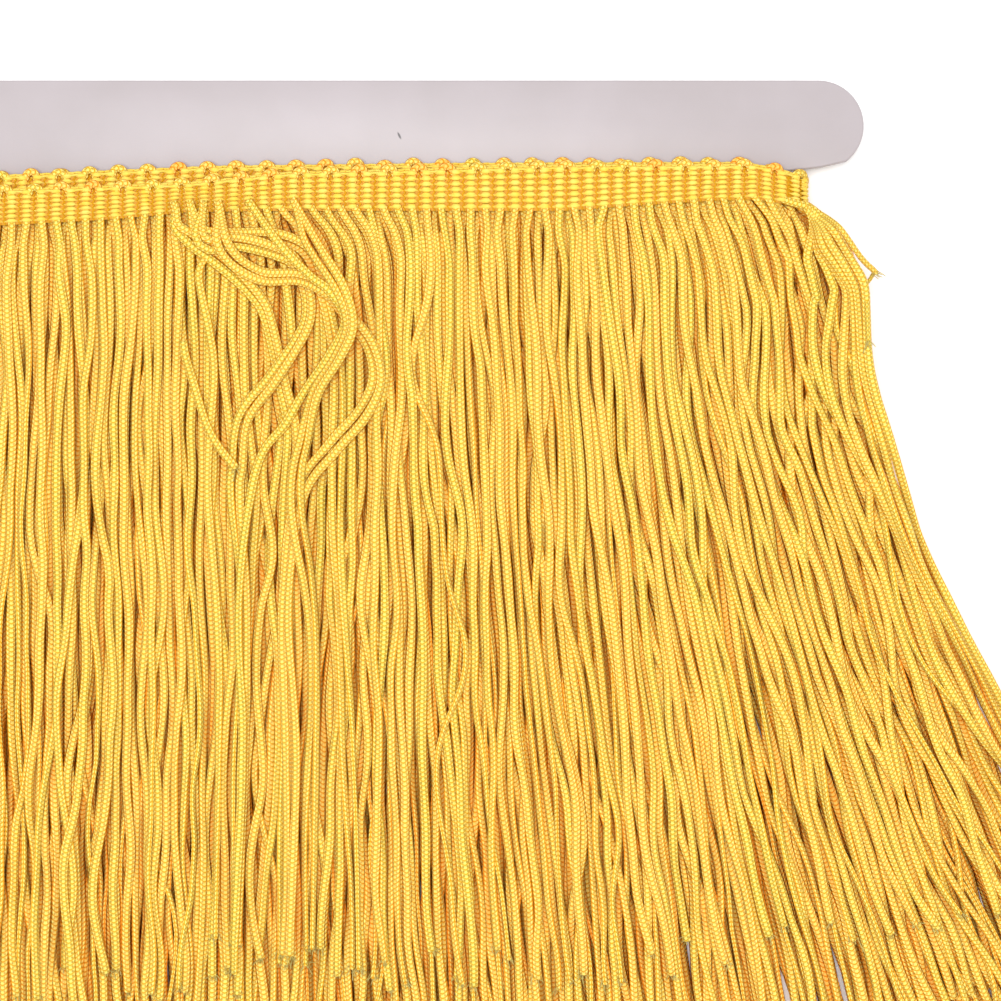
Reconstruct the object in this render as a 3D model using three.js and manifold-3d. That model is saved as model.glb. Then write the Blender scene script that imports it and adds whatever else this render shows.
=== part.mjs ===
// A length of chainette fringe trim wound three times round a flat plastic card, lying on its back.
// Millimetres. X runs along the card, Y from the fringe's ends to the card's top edge, Z up.
// The origin is on the braid's back face, at the middle of its length, where the pack rests.
import * as THREE from "three";
import { mergeVertices } from "three/addons/utils/BufferGeometryUtils.js";
import Module from "manifold-3d";

const wasm = await Module();
wasm.setup();

// Driving sizes
const STRAIGHT_HALF = 93.5; // from the middle to where the braid starts to bend round the card
const CARD_THICKNESS = 2;
const BRAID_THICKNESS = 1.4;
const PIECE_GAP = 0.3;
const LAPS = 3;
const PICOT_PERIOD = 5.9;
const PICOT_HEIGHT = 1.4;
const HEADING_HEIGHT = 1.3; // of the fringe's own heading, under the braid
const HEADING_GAP = 0.77;
const HEADING_THICKNESS = 1.27;
const FRINGE_LENGTH = 165;
const LAYER_GAP = 0.4;

// Sizes that follow from them
const CORE_RADIUS = CARD_THICKNESS / 2 + PIECE_GAP;
const LAP_STEP = BRAID_THICKNESS + PIECE_GAP;
const PACK_RADIUS = CORE_RADIUS + LAPS * LAP_STEP - PIECE_GAP;
const MID_HEIGHT = PACK_RADIUS;
const STRAIGHT = 2 * STRAIGHT_HALF;
const BEND = (Math.PI * (CORE_RADIUS + PACK_RADIUS)) / 2;
const LAP = 2 * (STRAIGHT + BEND);
const CARD_FACE = MID_HEIGHT + CARD_THICKNESS / 2;
const QUARTER_TURN = Math.PI / 2;
const ROUNDING = 0.001;

const YELLOW = new THREE.MeshStandardMaterial({ color: "#f3b82e", roughness: 0.75, metalness: 0 });
const SHADED_YELLOW = new THREE.MeshStandardMaterial({ color: "#e59a1c", roughness: 0.8, metalness: 0 });
const CARD_WHITE = new THREE.MeshStandardMaterial({ color: "#e2dce0", roughness: 0.45, metalness: 0 });

// Where the braid's two edges lie along the card, on the front of each lap and on the back of all of them.
const FRONT_EDGES = [
  [
    { x: -93.5, top: 1.6, bottom: -3.4 },
    { x: -62, top: 1.8, bottom: -4.2 },
    { x: -20, top: 3.6, bottom: -2.8 },
    { x: 30, top: 4.2, bottom: -2.4 },
    { x: 86.5, top: 4.2, bottom: -2.4 },
    { x: 93.5, top: 1.6, bottom: -3.4 },
  ],
  [
    { x: -93.5, top: 1.6, bottom: -4.6 },
    { x: -62, top: 2.0, bottom: -5.0 },
    { x: -20, top: 3.8, bottom: -3.6 },
    { x: 30, top: 4.4, bottom: -3.2 },
    { x: 87.5, top: 4.6, bottom: -3.0 },
    { x: 95.5, top: 1.6, bottom: -4.6 },
  ],
  [
    { x: -97.5, top: 1.6, bottom: -4.6 },
    { x: -78, top: -0.6, bottom: -7.4 },
    { x: -62, top: -1.0, bottom: -7.6 },
    { x: -40, top: -0.3, bottom: -6.4 },
    { x: -24, top: 0.4, bottom: -4.9 },
    { x: -5, top: 2.4, bottom: -4.7 },
    { x: 50, top: 3.8, bottom: -4.7 },
    { x: 80, top: 4.0, bottom: -2.6 },
    { x: 88.5, top: 4.0, bottom: -2.4 },
    { x: 95.5, top: 2.5, bottom: -3.5 },
    { x: 99.5, top: 1.6, bottom: -4.6 },
  ],
];
const BACK_EDGES = [
  { x: -93.5, top: 1.6, bottom: -4.6 },
  { x: -80, top: 2.4, bottom: -5.0 },
  { x: 80, top: 2.4, bottom: -5.0 },
  { x: 93.5, top: 1.6, bottom: -4.6 },
];

// Shares of a strand's length at which its sections lie: closest together where it bends and falls most.
const LEVEL_SECTIONS = [0, 0.1, 0.3, 0.62, 1];
const FALLING_SECTIONS = [0, 0.06, 0.13, 0.3, 0.5, 0.74, 1];

// The fringe's layers, from the lowest up. Heights are of a strand's underside, at the braid and over the card.
const LAYERS = [
  {
    name: "fringe_back_outer",
    lap: 2,
    front: false,
    firstRoot: -88.5,
    lastRoot: 97.5,
    pitch: 4.9,
    width: 3.4,
    thickness: 2.2,
    atBraid: 0,
    overCard: 0,
    length: FRINGE_LENGTH,
    ragged: 4,
    sections: LEVEL_SECTIONS,
    material: SHADED_YELLOW,
  },
  {
    name: "fringe_back_inner",
    lap: 0,
    front: false,
    firstRoot: -92.5,
    lastRoot: 92.5,
    pitch: 4.9,
    width: 3.4,
    thickness: 2.2,
    atBraid: 2.6,
    overCard: 2.6,
    length: FRINGE_LENGTH,
    ragged: 5,
    sections: LEVEL_SECTIONS,
    material: SHADED_YELLOW,
  },
  {
    name: "fringe_front_inner",
    lap: 1,
    front: true,
    firstRoot: -94,
    lastRoot: 94,
    pitch: 4.6,
    width: 3.2,
    thickness: 2.1,
    atBraid: 8.1,
    overCard: CARD_FACE + 0.6,
    length: FRINGE_LENGTH,
    ragged: 4,
    sections: FALLING_SECTIONS,
    material: SHADED_YELLOW,
  },
  {
    name: "fringe_front_outer",
    lap: 2,
    front: true,
    firstRoot: -97.5,
    lastRoot: 97.5,
    pitch: 2.94,
    width: 1.9,
    thickness: 1.6,
    atBraid: 11,
    overCard: 10.8,
    length: FRINGE_LENGTH - 14,
    ragged: 6,
    sections: FALLING_SECTIONS,
    material: YELLOW,
  },
];

// How far a strand's cut end lies to the right of its root, by the root's place along the card.
const FAN = [
  { root: -100, shift: -44 },
  { root: -90, shift: -29 },
  { root: -78, shift: -13 },
  { root: -62, shift: -1 },
  { root: -40, shift: 0 },
  { root: -3, shift: 3 },
  { root: 28, shift: 8.5 },
  { root: 56, shift: 17 },
  { root: 71, shift: 33 },
  { root: 78, shift: 41 },
  { root: 90, shift: 51 },
  { root: 100, shift: 61 },
];

// What part of that shift a strand at the card's end has made, by the share of its length.
const END_BULGE = [
  { share: 0, made: 0 },
  { share: 0.05, made: 0.09 },
  { share: 0.12, made: 0.175 },
  { share: 0.21, made: 0.18 },
  { share: 0.26, made: 0.19 },
  { share: 0.34, made: 0.26 },
  { share: 0.54, made: 0.43 },
  { share: 0.71, made: 0.63 },
  { share: 1, made: 1 },
];

// Strands that have slipped over their neighbours, as the places that they pass.
const LOOSE_STRANDS = [
  [
    { x: -26, y: -8 },
    { x: -17, y: -15 },
    { x: -10, y: -25 },
    { x: -6, y: -40 },
    { x: -4, y: -62 },
    { x: -3, y: -95 },
    { x: -5, y: -130 },
  ],
  [
    { x: -20, y: -8 },
    { x: -2, y: -12 },
    { x: 9, y: -26 },
    { x: 14, y: -42 },
    { x: 8, y: -56 },
    { x: 3, y: -78 },
    { x: 4, y: -120 },
  ],
];

const smooth = (low, high, value) => THREE.MathUtils.smoothstep(value, low, high);

// A repeatable number from -1 to 1 for the strand with this number.
const scatter = (seed) => {
  const wide = Math.sin(seed * 12.9898 + 4.1414) * 43758.5453;
  return 2 * (wide - Math.floor(wide)) - 1;
};

// A value between the rows of a table that is sorted by its key.
function fromTable(rows, key, at, column) {
  const next = rows.findIndex((row) => row[key] >= at);
  if (next < 0) return rows[rows.length - 1][column];
  if (next === 0) return rows[0][column];
  const before = rows[next - 1];
  const after = rows[next];
  return THREE.MathUtils.mapLinear(at, before[key], after[key], before[column], after[column]);
}

// A point of the winding. Distance runs along the front to the right, round the end and back; each lap
// is one step further out, which it gains round the left end. Outward is measured from the inner face.
// frontness is 1 on the front, 0 on the back and between them round the ends.
function onWinding(distance, outward) {
  const lap = Math.floor(distance / LAP);
  const along = distance - lap * LAP;
  const radius = CORE_RADIUS + lap * LAP_STEP + outward;
  if (along < STRAIGHT) {
    return { x: along - STRAIGHT_HALF, z: MID_HEIGHT + radius, lap, frontness: 1 };
  }
  if (along < STRAIGHT + BEND) {
    const angle = ((along - STRAIGHT) / BEND) * Math.PI;
    return {
      x: STRAIGHT_HALF + radius * Math.sin(angle),
      z: MID_HEIGHT + radius * Math.cos(angle),
      lap,
      frontness: (1 + Math.cos(angle)) / 2,
    };
  }
  if (along < 2 * STRAIGHT + BEND) {
    return { x: 3 * STRAIGHT_HALF + BEND - along, z: MID_HEIGHT - radius, lap, frontness: 0 };
  }
  const turned = (along - 2 * STRAIGHT - BEND) / BEND;
  const wider = radius + turned * LAP_STEP;
  return {
    x: -STRAIGHT_HALF - wider * Math.sin(turned * Math.PI),
    z: MID_HEIGHT - wider * Math.cos(turned * Math.PI),
    lap: lap + 1,
    frontness: (1 - Math.cos(turned * Math.PI)) / 2,
  };
}

// Where the braid's top or bottom edge is at a place of the winding.
function braidEdge(place, column) {
  const back = fromTable(BACK_EDGES, "x", place.x, column);
  if (place.frontness === 0) return back;
  return THREE.MathUtils.lerp(back, fromTable(FRONT_EDGES[place.lap], "x", place.x, column), place.frontness);
}

// Distances along the winding, closer together round the card's ends.
function stationsAlong(start, end, straightStep) {
  const stations = [start];
  let distance = start;
  while (distance < end) {
    const along = THREE.MathUtils.euclideanModulo(distance + ROUNDING, LAP / 2);
    const step = along < STRAIGHT ? Math.min(straightStep, STRAIGHT - along + ROUNDING) : BEND / 8;
    distance = Math.min(end, distance + step);
    stations.push(distance);
  }
  return stations;
}

// A bar that follows the winding through these stations. bottomOf and topOf give its edges there.
function woundBar(stations, bottomOf, topOf, thickness) {
  const bar = new THREE.BoxGeometry(1, 1, 1, stations.length - 1, 1, 1);
  const points = bar.getAttribute("position");
  for (let i = 0; i < points.count; i++) {
    const station = Math.round((points.getX(i) + 0.5) * (stations.length - 1));
    const distance = stations[station];
    const middle = onWinding(distance, BRAID_THICKNESS / 2);
    const place = onWinding(distance, points.getZ(i) > 0 ? thickness : 0);
    points.setXYZ(i, place.x, points.getY(i) > 0 ? topOf(middle, station) : bottomOf(middle), place.z);
  }
  return bar;
}

// The braid: one strip wound round the card, with a scalloped row of picots along its top edge.
// Its inner lap, which nothing shows of, has a plain edge, and its cut end is behind the card.
function woundBraid() {
  const end = 2 * LAP + 2 * STRAIGHT + BEND - 1;
  const innerLap = stationsAlong(1, LAP, 14);
  const stations = [...innerLap, ...stationsAlong(LAP, end, PICOT_PERIOD / 2).slice(1)];
  const isPicot = (station) => station >= innerLap.length && (station - innerLap.length) % 2 === 0;
  const topOf = (place, station) => braidEdge(place, "top") + (isPicot(station) ? PICOT_HEIGHT : 0);
  return woundBar(stations, (place) => braidEdge(place, "bottom"), topOf, BRAID_THICKNESS);
}

// The narrow heading under the braid that a layer's strands hang from. It reaches round the card's ends
// where its strands do.
function heading(layer) {
  const radius = CORE_RADIUS + layer.lap * LAP_STEP + BRAID_THICKNESS;
  const distanceOf = (root) => {
    const past = Math.max(0, Math.abs(root) - STRAIGHT_HALF);
    const bent = (Math.asin(Math.min(1, (past + 0.6) / radius)) / Math.PI) * BEND;
    const along = Math.min(STRAIGHT_HALF, Math.abs(root) + 1) + (past > 0 ? bent : 0);
    const fromMiddle = Math.sign(root) * along;
    const middle = layer.front ? STRAIGHT_HALF : 3 * STRAIGHT_HALF + BEND;
    return layer.lap * LAP + middle + (layer.front ? fromMiddle : -fromMiddle);
  };
  const ends = [distanceOf(layer.firstRoot), distanceOf(layer.lastRoot)].sort((a, b) => a - b);
  const topOf = (place) => braidEdge(place, "bottom") - HEADING_GAP;
  const bottomOf = (place) => braidEdge(place, "bottom") - HEADING_GAP - HEADING_HEIGHT;
  return woundBar(stationsAlong(ends[0], ends[1], 8), bottomOf, topOf, HEADING_THICKNESS);
}

// How far a strand has moved sideways at this share of its length, from where its root is.
function sideways(layer, root, share) {
  const atEnd = layer.lap === LAPS - 1 && layer.front ? smooth(52, 92, Math.abs(root)) : 0;
  const made = THREE.MathUtils.lerp(share ** 1.35, fromTable(END_BULGE, "share", share, "made"), atEnd);
  const combed = 3 * Math.exp(-(((root - 10) / 20) ** 2)) * (smooth(0, 0.16, share) - smooth(0.4, 0.9, share));
  const sway = 0.6 * Math.sin(root / 5.2 + 5 * share) + 1.6 * share * Math.sin(root / 13 - 4.2 * share + 1);
  return fromTable(FAN, "root", root, "shift") * made + combed + smooth(0, 0.3, share) * sway;
}

// The strands spread out towards the card's ends, so they lie thinner there.
const spreadThin = (root) => 1 - 0.4 * smooth(55, 95, Math.abs(root));

// The height of a layer's underside once it has settled on the layers below it.
function settledHeight(layer, root) {
  const below = LAYERS.slice(0, LAYERS.indexOf(layer));
  return below.reduce((height, lower) => height + lower.thickness * spreadThin(root) + LAYER_GAP, 0);
}

// How far the front of a lap has curved away from flat where this root is.
function curvedAway(layer, root) {
  const past = Math.max(0, Math.abs(root) - STRAIGHT_HALF);
  const radius = CORE_RADIUS + layer.lap * LAP_STEP + BRAID_THICKNESS;
  return radius - Math.sqrt(Math.max(0, radius ** 2 - past ** 2));
}

function undersideAt(layer, root, y) {
  const away = curvedAway(layer, root) * (layer.front ? -1 : 1);
  const overCard = THREE.MathUtils.lerp(layer.atBraid + away, layer.overCard, smooth(7, 12, -y));
  return THREE.MathUtils.lerp(overCard, settledHeight(layer, root), smooth(26, 95, -y));
}

// A three-sided strand, level underneath, whose underside follows these points.
function strand(points, width, thickness) {
  const up = new THREE.Vector3(0, 0, 1);
  const corners = [];
  points.forEach((point, i) => {
    const before = points[Math.max(0, i - 1)];
    const after = points[Math.min(points.length - 1, i + 1)];
    const across = after.clone().sub(before).cross(up).normalize();
    corners.push(point.clone().addScaledVector(across, -width / 2));
    corners.push(point.clone().addScaledVector(across, width / 2));
    corners.push(point.clone().addScaledVector(up, thickness));
  });
  const faces = [0, 1, 2];
  const last = corners.length - 3;
  for (let ring = 0; ring < last; ring += 3) {
    for (let side = 0; side < 3; side++) {
      const a = ring + side;
      const b = ring + ((side + 1) % 3);
      faces.push(a, a + 3, b, b, a + 3, b + 3);
    }
  }
  faces.push(last, last + 2, last + 1);
  return new THREE.BufferGeometry().setFromPoints(corners).setIndex(faces);
}

// How high up the page a strand starts, in the middle of its heading.
function rootHeight(layer, root) {
  const place = { x: root, lap: layer.lap, frontness: layer.front ? 1 : 0 };
  return braidEdge(place, "bottom") - HEADING_GAP - HEADING_HEIGHT / 2;
}

// The points of one strand's underside, from inside its heading to its cut end.
function strandPoints(layer, root, length) {
  let y = rootHeight(layer, root);
  let x = root;
  let passed = 0;
  return layer.sections.map((share) => {
    const run = (share - passed) * length;
    const nextX = root + sideways(layer, root, share);
    y -= Math.sqrt(Math.max(0, run ** 2 - (nextX - x) ** 2));
    x = nextX;
    passed = share;
    return new THREE.Vector3(x, y, undersideAt(layer, root, y));
  });
}

function asSolid(geometry) {
  const bare = geometry.clone();
  bare.deleteAttribute("normal");
  bare.deleteAttribute("uv");
  const merged = mergeVertices(bare, 1e-4);
  return new wasm.Manifold(
    new wasm.Mesh({
      numProp: 3,
      vertProperties: new Float32Array(merged.getAttribute("position").array),
      triVerts: new Uint32Array(merged.index.array),
    }),
  );
}

function asGeometry(solid) {
  const mesh = solid.getMesh();
  const geometry = new THREE.BufferGeometry();
  geometry.setAttribute("position", new THREE.BufferAttribute(new Float32Array(mesh.vertProperties), 3));
  geometry.setIndex(new THREE.BufferAttribute(new Uint32Array(mesh.triVerts), 1));
  geometry.computeVertexNormals();
  return geometry;
}

// One layer of fringe: its strands, fused at their roots into the heading.
function fringeLayer(layer, number) {
  const count = Math.floor((layer.lastRoot - layer.firstRoot) / layer.pitch);
  const first = (layer.firstRoot + layer.lastRoot - count * layer.pitch) / 2;
  let solid = asSolid(heading(layer));
  for (let i = 0; i <= count; i++) {
    const root = first + i * layer.pitch;
    const length = layer.length + layer.ragged * scatter(i + 57 * number);
    const thickness = layer.thickness * spreadThin(root);
    solid = solid.add(asSolid(strand(strandPoints(layer, root, length), layer.width, thickness)));
  }
  return solid;
}

// The loose strands lie over the topmost layer and are fused to its heading.
function looseStrand(layer, places) {
  const above = layer.thickness + LAYER_GAP;
  const start = places[0].x - 1;
  const points = places.map(({ x, y }) => new THREE.Vector3(x, y, undersideAt(layer, x, y) + above));
  points.unshift(new THREE.Vector3(start, rootHeight(layer, start), layer.atBraid + 0.6));
  const curve = new THREE.CatmullRomCurve3(points);
  return strand(curve.getSpacedPoints(13), layer.width, layer.thickness);
}

// The card: a flat plate with a large round-ended lobe above the braid and a smaller one below it.
function windingCard() {
  const upper = { x: 101.5, y: 12.5, radius: 9.1, from: QUARTER_TURN, to: -0.9 };
  const lower = { x: 96.1, y: -19, radius: 6.3, from: QUARTER_TURN, to: -QUARTER_TURN };
  const neck = { x: STRAIGHT_HALF - 0.2, top: 3.4, bottom: -12.7, corner: 1.6 };
  const arc = ({ x, y, radius, from, to }, steps) =>
    Array.from({ length: steps + 1 }, (_, i) => {
      const angle = THREE.MathUtils.lerp(from, to, i / steps);
      return [x + radius * Math.cos(angle), y + radius * Math.sin(angle)];
    });
  const rightSide = [
    ...arc(upper, 12),
    [neck.x + 5.5 * neck.corner, neck.top + 0.8],
    [neck.x + neck.corner, neck.top],
    [neck.x, neck.top - neck.corner],
    [neck.x, neck.bottom + neck.corner],
    [neck.x + neck.corner, neck.bottom],
    ...arc(lower, 8),
  ];
  const leftSide = rightSide.map(([x, y]) => [-x, y]).reverse();
  const outline = new THREE.Shape([...rightSide, ...leftSide].map(([x, y]) => new THREE.Vector2(x, y)));
  const plate = new THREE.ExtrudeGeometry(outline, { depth: CARD_THICKNESS, bevelEnabled: false });
  return plate.translate(0, 0, CARD_FACE - CARD_THICKNESS);
}

const pack = new THREE.Group();

function addPiece(name, geometry, material) {
  const mesh = new THREE.Mesh(geometry, material);
  mesh.name = name;
  pack.add(mesh);
}

addPiece("winding_card", windingCard(), CARD_WHITE);
addPiece("wound_braid", woundBraid(), YELLOW);
LAYERS.forEach((layer, number) => {
  const loose = number === LAYERS.length - 1 ? LOOSE_STRANDS : [];
  const solid = loose.reduce(
    (joined, places) => joined.add(asSolid(looseStrand(layer, places))),
    fringeLayer(layer, number),
  );
  addPiece(layer.name, asGeometry(solid), layer.material);
});

export default pack;
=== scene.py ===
# A length of yellow chainette fringe trim, wound three times round a flat plastic card, on its back.
# Sizes are in millimetres, in the frame of the solids: X along the card, Y from the fringe's cut ends
# to the card's top edge, Z up. Meshes are written in metres.
import math

import bmesh
import bpy
import numpy as np
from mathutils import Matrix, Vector


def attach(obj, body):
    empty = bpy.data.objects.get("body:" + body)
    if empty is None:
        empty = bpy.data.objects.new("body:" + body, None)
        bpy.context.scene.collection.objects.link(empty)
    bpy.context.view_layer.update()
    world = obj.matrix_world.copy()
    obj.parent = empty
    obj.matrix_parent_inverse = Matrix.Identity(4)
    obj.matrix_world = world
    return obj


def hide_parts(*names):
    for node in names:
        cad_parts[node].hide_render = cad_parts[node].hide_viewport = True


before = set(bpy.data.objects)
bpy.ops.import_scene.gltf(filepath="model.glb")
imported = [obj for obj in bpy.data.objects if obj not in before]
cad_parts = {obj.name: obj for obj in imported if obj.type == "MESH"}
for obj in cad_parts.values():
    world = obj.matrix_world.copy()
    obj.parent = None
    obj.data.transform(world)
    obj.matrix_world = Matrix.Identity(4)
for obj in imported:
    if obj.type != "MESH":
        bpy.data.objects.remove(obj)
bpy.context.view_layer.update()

MM = 0.001
rng = np.random.default_rng(13)

# The camera looks straight down, as far to the right of the braid's middle as the view shows.
VIEW_WIDTH = 200.2
VIEW_CENTRE = (37.7, -62.7)
VIEW_HEIGHT = 9.0  # the height at which the view is VIEW_WIDTH wide
LENS = 110.0
SENSOR = 36.0

# The winding, as in the solids
STRAIGHT_HALF = 93.5
CARD_THICKNESS = 2.0
BRAID_THICKNESS = 1.4
PIECE_GAP = 0.3
LAPS = 3
CORE_RADIUS = CARD_THICKNESS / 2 + PIECE_GAP
LAP_STEP = BRAID_THICKNESS + PIECE_GAP
PACK_RADIUS = CORE_RADIUS + LAPS * LAP_STEP - PIECE_GAP
MID_HEIGHT = PACK_RADIUS
STRAIGHT = 2 * STRAIGHT_HALF
BEND = math.pi * (CORE_RADIUS + PACK_RADIUS) / 2
LAP = 2 * (STRAIGHT + BEND)
WINDING_START = 1.0
WINDING_END = 2 * LAP + 2 * STRAIGHT + BEND - WINDING_START
CARD_FACE = MID_HEIGHT + CARD_THICKNESS / 2
CARD_BACK = MID_HEIGHT - CARD_THICKNESS / 2

# The yarn
COLUMN_PITCH = 2.949  # of the braid's columns
FIRST_COLUMN = 5.4
STRAND_WIDTH = 1.88
BURIED_WIDTH = 2.05  # of the strands under them, pressed flat
STRAND_THICKNESS = 1.16
STITCH_PITCH = 0.92  # of the V stitches along a strand
FRINGE_LENGTH = 171.0
OUTER_LENGTH = 153.0
RAGGED = 4.0  # how much longer or shorter a strand may be
OUTER_RAGGED = 5.0
ROOT_OUT = 0.72  # from the braid's inner face to the middle of a strand's root
ROOT_TUCK = 0.7  # how far up into the braid a strand's root goes
ENDS_FROM = 46  # how far from the card's middle the fringe has spread so far that more strands fill it
CARD_CLEARANCE = 0.2  # between the card's back and the strands behind it
FIRST_CAP = 0.05  # of the closed start of a yarn
LAST_CAP = 0.3  # of its closed end
MERGED = 0.001  # the distance at which a yarn's points are one
ROWS = 7  # of crosswise bars in the braid
PICOT_HEIGHT = 1.4

# The chainette cord's section and stitches
STRAND_GROOVE = 0.1  # how much thinner it is along the middle of each face, as a share
WALES = 2  # of V stitches round it
STITCH_SLANT = 0.8  # how far the ends of a V are from its point, in stitches
STITCH_RELIEF = 0.2
CORD_FILAMENT = 1 / 2.6  # drawn coarser than real filaments, which are too fine to show
TONE_PATCH = 50 / 3  # the width of the patches in which the shade of the fringe changes

# The braid's threads
FILAMENTS_ROUND = 9  # that show round a thread
THREAD_FIBRE = 1 / 2.2  # drawn coarser than real fibres, which are too fine to show
THREAD_PATCH = 2.0
THREAD_RELIEF = 0.09

# The card's sheet
CARD_ROUND = 0.35  # of its die-cut edges
CARD_MOTTLE = 50 / 3
CARD_GRAIN = 0.4
CARD_RELIEF = 0.02
# Its lobes: the bare one above the braid, and the smaller one under the fringe
UPPER_LOBE = {"x": 101.5, "y": 12.5, "radius": 9.1}
LOWER_LOBE = {"x": 96.1, "y": -19, "radius": 6.3}
NECK_HALF = STRAIGHT_HALF - 0.2
# The short dark mark on its bare face, which leans to the left
CARD_MARK = {"x": 17.4, "y": 10.5, "half_width": 0.28, "half_length": 0.95, "lean": math.radians(26)}

# How a strand lies on what is under it
DROP = 0.38  # the steepest that it falls, as height for each millimetre
STIFFNESS = 1.2  # the length over which its height evens out
HELD_LENGTH = 1.5  # at its root, held level by the braid
FLOOR_GAP = 0.02
TWIST = 0.35  # the most that its section turns in a wave, in radians
TWIST_DRIFT = 0.006  # for each millimetre
# How it rolls into the hollows beside it: in some passes, each looking less far to the sides
ROLL = {"step": 0.5, "held": 3.0, "reaches": (1.1, 0.7, 0.5), "blur": 12, "share": 0.8, "most": 0.45}
# The card keeps the strands behind it down as far as its lower edge. Over this stretch below the braid they
# come free of it and may rise by this much.
CEILING_END = (25, 34)
CEILING_RISE = 20.0

# The dimmest tone that a strand has by chance, and how much darker its painted shade makes it where it lies
# below those around it
DIMMEST = 0.62
DIMMEST_SLIPPED = 0.7
GAP_SHADE = {"blur": 5, "from": 0.1, "full": 2.1, "most": 0.85}

# The filaments that stand out at each cut end
HAIRS = 8
HAIR_LENGTHS = (0.8, 1.8)
HAIR_WIDTH = 0.26
HAIR_THICKNESS = 0.22

# Floor and light, in metres and watts
FLOOR_HALF = 3.0
DAYLIGHT = 0.86
SOFTBOX = {"place": (-0.02, -0.03, 1.25), "size": 0.5, "power": 12.4}

# Where the braid's edges lie along the card, on the front of each lap and on the back of all of them
FRONT_EDGES = [
    {
        "x": (-93.5, -62, -20, 30, 86.5, 93.5),
        "top": (1.6, 1.8, 3.6, 4.2, 4.2, 1.6),
        "bottom": (-3.4, -4.2, -2.8, -2.4, -2.4, -3.4),
    },
    {
        "x": (-93.5, -62, -20, 30, 87.5, 95.5),
        "top": (1.6, 2.0, 3.8, 4.4, 4.6, 1.6),
        "bottom": (-4.6, -5.0, -3.6, -3.2, -3.0, -4.6),
    },
    {
        "x": (-97.5, -78, -62, -40, -24, -5, 50, 80, 88.5, 95.5, 99.5),
        "top": (1.6, -0.6, -1.0, -0.3, 0.4, 2.4, 3.8, 4.0, 4.0, 2.5, 1.6),
        "bottom": (-4.6, -7.4, -7.6, -6.4, -4.9, -4.7, -4.7, -2.6, -2.4, -3.5, -4.6),
    },
]
BACK_EDGES = {
    "x": (-93.5, -80, 80, 93.5),
    "top": (1.6, 2.4, 2.4, 1.6),
    "bottom": (-4.6, -5.0, -5.0, -4.6),
}

# How far a strand's cut end lies to the right of its root
FAN = {
    "root": (-100, -90, -78, -62, -40, -3, 28, 56, 71, 78, 90, 100),
    "shift": (-44, -29, -13, -1, 0, 3, 8.5, 17, 33, 41, 51, 61),
}
# From where to where along the card a root is at its end, where its strand bends as follows
END_ROOTS = (52, 92)
# What part of the fan's shift such a strand has made, by the share of its length
END_BULGE = {
    "share": (0, 0.05, 0.12, 0.21, 0.26, 0.34, 0.54, 0.71, 1),
    "made": (0, 0.09, 0.175, 0.18, 0.19, 0.26, 0.43, 0.63, 1),
}

# Strands left of the card's middle are combed to the right, and come back over these shares of their length
COMBED = {"shift": 5.4, "root": -1, "reach": 16, "starts": (-0.02, 0.085), "ends": (0.3, 0.9)}
# How each strand strays from its neighbours
GATHERING = 0.8
STRAY_AT_END = 1.7
STRAY_AT_ROOT = (0.3, 0.65)
STRAND_WAVES = [
    {"length": 24, "steepness": 0.004},
    {"length": 44, "steepness": 0.008},
    {"length": 90, "steepness": 0.009},
]

# Where the slipped strands start, above the outermost braid, and the length over which they come down
SLIPPED_ROOT = MID_HEIGHT + CORE_RADIUS + LAP_STEP * 2 + 1.6
SLIPPED_FREE = 8
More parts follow.
